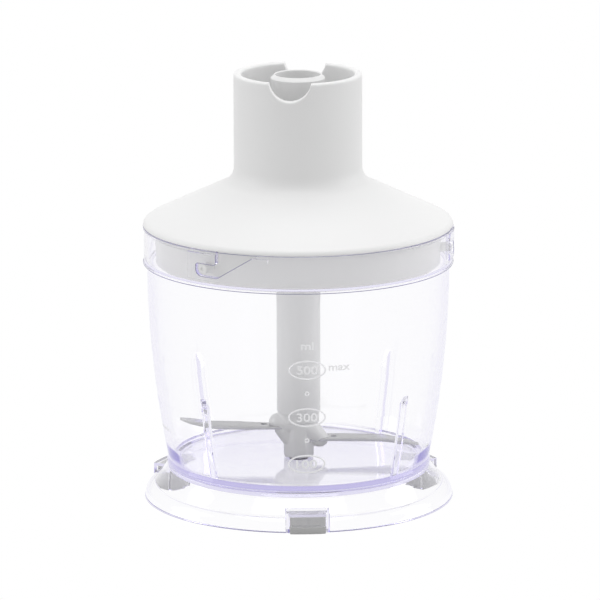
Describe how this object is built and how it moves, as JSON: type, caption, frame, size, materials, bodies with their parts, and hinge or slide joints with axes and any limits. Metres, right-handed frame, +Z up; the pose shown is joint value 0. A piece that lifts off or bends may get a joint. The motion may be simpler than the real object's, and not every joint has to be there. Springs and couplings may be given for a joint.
{
  "type": "mini food processor",
  "caption": "Chopper bowl with a geared lid and motor collar, a two-wing blade unit on a centre column, and a clear anti-slip base.",
  "frame": {"origin": "on the table under the bowl's axis, at the middle of the base", "axes": "+Z up along the drive axis, front of the bowl (its measuring marks) towards -Y"},
  "size_m": [0.1308, 0.1308, 0.1818],
  "materials": {
    "white_shell": "satin moulded",
    "white_skirt": "satin moulded",
    "clear_bowl": "clear, polished",
    "clear_base": "clear, polished",
    "grey_rubber": "matt",
    "seal_rubber": "matt",
    "steel_shaft": "ground",
    "steel_blade": "brushed",
    "grey_column": "fine satin",
    "grey_hub": "fine satin",
    "bronze_bush": "sintered",
    "gear_plastic": "acetal",
    "inner_plastic": "moulded"
  },
  "bodies": {
    "base": {"anti_slip_base": "clear_base", "rubber_feet": "grey_rubber"},
    "bowl": {"bowl": "clear_bowl", "pivot_pin": "steel_shaft"},
    "lid": {"lid_cover": "white_shell", "lid_skirt": "white_skirt", "hub_tube": "white_shell", "gearbox_housing": "inner_plastic", "gearbox_cover": "inner_plastic", "ring_gear": "gear_plastic", "upper_bush": "bronze_bush", "lower_bush": "bronze_bush", "shaft_seal": "seal_rubber", "cover_screws": "steel_shaft"},
    "input": {"input_shaft": "steel_shaft", "sun_gear": "gear_plastic", "input_coupling": "inner_plastic"},
    "planet_1": {"planet_gear_1": "gear_plastic"},
    "planet_2": {"planet_gear_2": "gear_plastic"},
    "planet_3": {"planet_gear_3": "gear_plastic"},
    "rotor": {"planet_carrier": "inner_plastic", "planet_pins": "steel_shaft", "pin_clips": "steel_shaft", "thrust_washer": "steel_shaft", "output_shaft": "steel_shaft", "output_driver": "inner_plastic", "blade_column": "grey_column", "blade_hub": "grey_hub", "upper_blade": "steel_blade", "lower_blade": "steel_blade", "blade_bush": "bronze_bush"}
  },
  "joints": [
    {"name": "bowl_lift", "type": "slide", "parent": "base", "child": "bowl", "axis": [0, 0, 1], "range_m": [0, 0.06]},
    {"name": "lid_twist", "type": "hinge", "parent": "bowl", "child": "lid", "pos_m": [0, 0, 0.1176], "axis": [0, 0, 1], "range_deg": [0, 7]},
    {"name": "rotor_spin", "type": "hinge", "parent": "lid", "child": "rotor", "pos_m": [0, 0, 0.1145], "axis": [0, 0, 1], "continuous": true},
    {"name": "input_spin", "type": "hinge", "parent": "lid", "child": "input", "pos_m": [0, 0, 0.148], "axis": [0, 0, 1], "continuous": true},
    {"name": "planet_1_spin", "type": "hinge", "parent": "rotor", "child": "planet_1", "pos_m": [0.01325, -0.00258, 0.123], "axis": [0, 0, 1], "continuous": true},
    {"name": "planet_2_spin", "type": "hinge", "parent": "rotor", "child": "planet_2", "pos_m": [-0.0044, 0.01276, 0.123], "axis": [0, 0, 1], "continuous": true},
    {"name": "planet_3_spin", "type": "hinge", "parent": "rotor", "child": "planet_3", "pos_m": [-0.00886, -0.01019, 0.123], "axis": [0, 0, 1], "continuous": true}
  ],
  "couplings": [
    {"joint": "input_spin", "follows": "rotor_spin", "ratio": 4.5},
    {"joint": "planet_1_spin", "follows": "rotor_spin", "ratio": -2.8},
    {"joint": "planet_2_spin", "follows": "rotor_spin", "ratio": -2.8},
    {"joint": "planet_3_spin", "follows": "rotor_spin", "ratio": -2.8}
  ]
}
